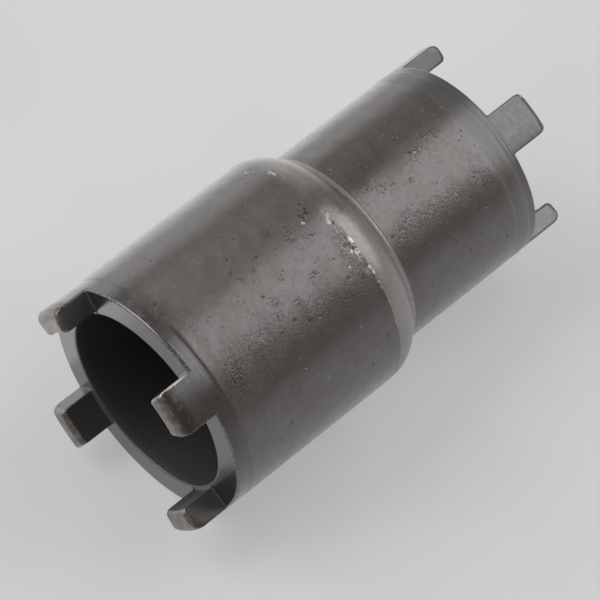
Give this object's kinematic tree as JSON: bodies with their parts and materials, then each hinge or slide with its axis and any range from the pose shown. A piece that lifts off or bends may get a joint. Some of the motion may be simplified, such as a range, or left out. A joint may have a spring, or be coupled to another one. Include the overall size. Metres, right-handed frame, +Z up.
{
  "type": "clutch nut wrench",
  "caption": "Double-ended lock nut wrench: a stepped steel tube with square lugs round the bore at each end, turned by a square drive hole inside.",
  "frame": {"origin": "on the surface that the tool lies on, under the middle of its length", "axes": "+X along the tool's axis from the large end to the small end, +Z up"},
  "size_m": [0.0612, 0.031, 0.031],
  "materials": {
    "blackened_steel": "blackened, satin, worn bright on the edges",
    "plate_steel": "blackened, matt",
    "bead_steel": "blackened, satin"
  },
  "bodies": {
    "root": {"large_socket": "blackened_steel", "small_socket": "blackened_steel", "drive_plate": "plate_steel", "weld_bead": "bead_steel"}
  },
  "joints": []
}
